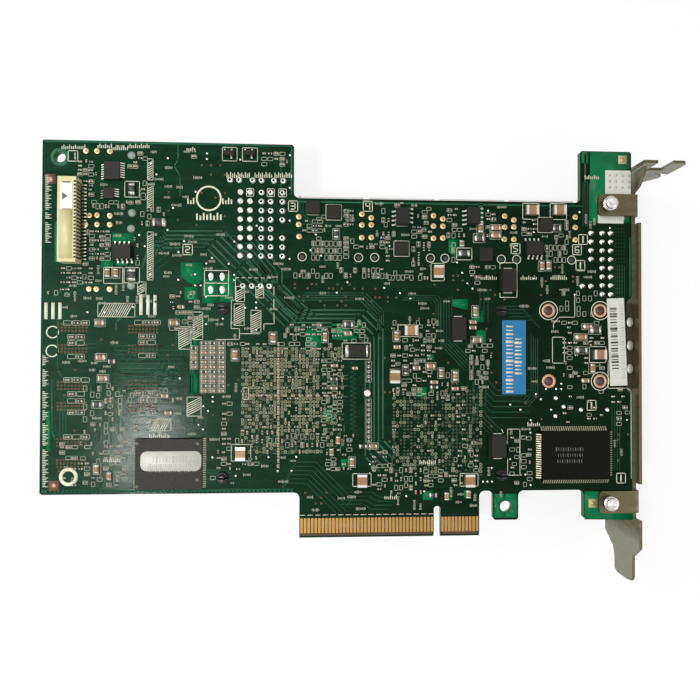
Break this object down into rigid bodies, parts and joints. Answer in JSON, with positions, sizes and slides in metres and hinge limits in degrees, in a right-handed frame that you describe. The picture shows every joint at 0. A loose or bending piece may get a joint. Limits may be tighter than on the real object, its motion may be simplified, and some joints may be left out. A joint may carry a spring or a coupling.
{
  "type": "raid controller card",
  "caption": "Add-in circuit card with a stepped board, edge connector, slot bracket, side and top ports, headers, chips and a finned heat sink on its component side.",
  "frame": {"origin": "under the middle of the card's box, on the plane that its lowest points share", "axes": "+X along the board to the bracket, +Y from the edge connector to the top edge, +Z out of the solder side"},
  "size_m": [0.1814, 0.1262, 0.0213],
  "materials": {
    "board_green": "gloss",
    "contact_gold": "satin",
    "bracket_steel": "satin",
    "screw_steel": "gloss",
    "port_steel": "satin",
    "port_black": "matte",
    "sink_aluminium": "satin",
    "nylon_black": "matte",
    "chip_black": "matte",
    "pad_grey": "matte",
    "lead_tin": "satin",
    "label_white": "satin",
    "label_blue": "satin",
    "tantalum_black": "satin",
    "ceramic_tan": "satin",
    "coil_grey": "matte",
    "can_silver": "gloss",
    "socket_cream": "satin",
    "tape_white": "satin"
  },
  "bodies": {
    "root": {"bar_label": "label_white", "battery_socket": "socket_cream", "battery_socket_contacts": "lead_tin", "blue_label": "label_blue", "bracket": "bracket_steel", "bracket_screws": "screw_steel", "cache_chip": "chip_black", "cache_leads": "lead_tin", "ceramic_capacitor_ends": "lead_tin", "ceramic_capacitors": "ceramic_tan", "circuit_board": "board_green", "controller_chip": "chip_black", "controller_thermal_pad": "pad_grey", "crystal": "can_silver", "edge_contacts": "contact_gold", "expander_chip": "chip_black", "expander_thermal_pad": "pad_grey", "external_port_cage": "port_steel", "external_port_gasket": "port_steel", "external_port_insert": "port_black", "flash_chip": "chip_black", "flash_label": "label_white", "flash_leads": "lead_tin", "flat_chips": "chip_black", "header_bodies": "nylon_black", "header_pins": "contact_gold", "heat_sink": "sink_aluminium", "internal_port_1_core": "port_black", "internal_port_1_shell": "port_steel", "internal_port_2_core": "port_black", "internal_port_2_shell": "port_steel", "internal_port_3_core": "port_black", "internal_port_3_shell": "port_steel", "internal_port_4_core": "port_black", "internal_port_4_shell": "port_steel", "internal_port_5_core": "port_black", "internal_port_5_shell": "port_steel", "internal_port_6_core": "port_black", "internal_port_6_shell": "port_steel", "logic_chip_leads": "lead_tin", "logic_chips": "chip_black", "memory_chip_1": "chip_black", "memory_chip_2": "chip_black", "memory_chip_3": "chip_black", "memory_chip_4": "chip_black", "memory_chip_5": "chip_black", "pickup_tape": "tape_white", "polymer_capacitor_bases": "nylon_black", "polymer_capacitor_cans": "can_silver", "power_coils": "coil_grey", "push_pin_springs": "screw_steel", "push_pins": "nylon_black", "sense_resistor": "chip_black", "small_chip_leads": "lead_tin", "small_chips": "chip_black", "tab_labels": "label_white", "tantalum_capacitors": "tantalum_black", "tantalum_terminals": "lead_tin", "transistor_leads": "lead_tin", "transistors": "chip_black"}
  },
  "joints": []
}
